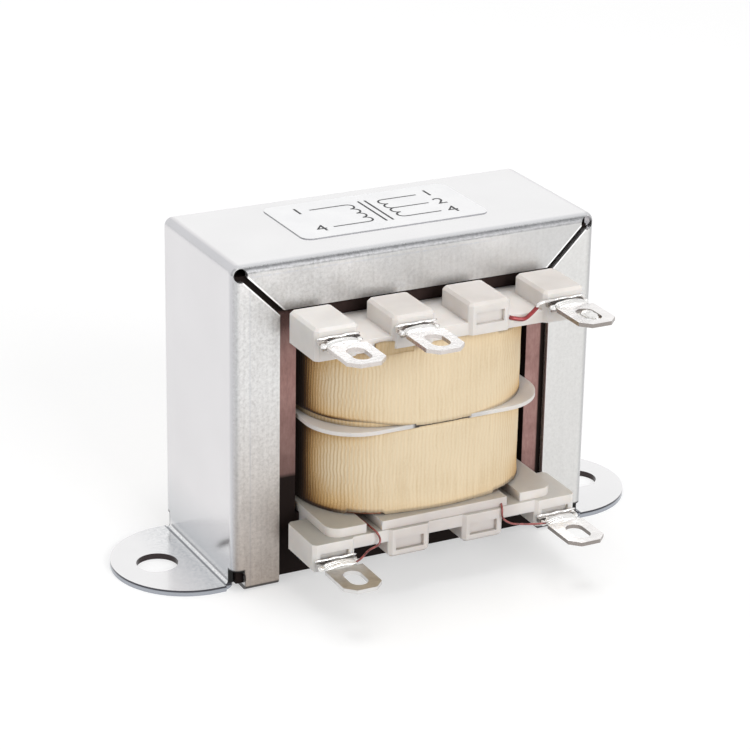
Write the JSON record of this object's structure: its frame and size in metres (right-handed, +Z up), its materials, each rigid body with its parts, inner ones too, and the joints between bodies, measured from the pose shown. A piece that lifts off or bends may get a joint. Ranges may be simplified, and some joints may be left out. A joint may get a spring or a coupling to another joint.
{
  "type": "laminated chassis transformer",
  "caption": "Small mains transformer: laminated core in a folded steel channel with two round mounting ears, taped coils on a nylon bobbin, solder lugs on the front.",
  "frame": {"origin": "midway between the two mounting holes, on the surface that the ears rest on", "axes": "+X runs from the left ear to the right ear, -Y is the side with the solder lugs, +Z is up"},
  "size_m": [0.0714, 0.046, 0.0421],
  "materials": {
    "zinc_steel": "zinc-plated sheet, mottled satin",
    "core_steel": "brown oxide coat, satin",
    "nylon": "natural nylon, satin, slightly translucent",
    "copper_winding": "enamelled copper wire",
    "coil_tape": "cream ribbed cloth tape",
    "tinned_brass": "tin-plated, bright",
    "solder": "bright tin solder",
    "red_enamel": "gloss red enamel",
    "brown_enamel": "gloss red-brown enamel",
    "label_film": "white satin film"
  },
  "bodies": {
    "root": {"channel_frame": "zinc_steel", "e_sheets_upright": "core_steel", "i_sheets_top": "core_steel", "e_sheets_turned": "core_steel", "i_sheets_bottom": "core_steel", "bobbin": "nylon", "secondary_winding": "copper_winding", "primary_winding": "copper_winding", "secondary_tape": "coil_tape", "primary_tape": "coil_tape", "terminal_top_1": "tinned_brass", "terminal_top_2": "tinned_brass", "terminal_top_4": "tinned_brass", "terminal_bottom_1": "tinned_brass", "terminal_bottom_4": "tinned_brass", "solder_top_1": "solder", "solder_top_2": "solder", "solder_top_4": "solder", "solder_bottom_1": "solder", "solder_bottom_4": "solder", "lead_top_1": "red_enamel", "lead_top_2": "red_enamel", "lead_top_4": "red_enamel", "lead_bottom_1": "brown_enamel", "lead_bottom_4": "brown_enamel", "label": "label_film"}
  },
  "joints": []
}
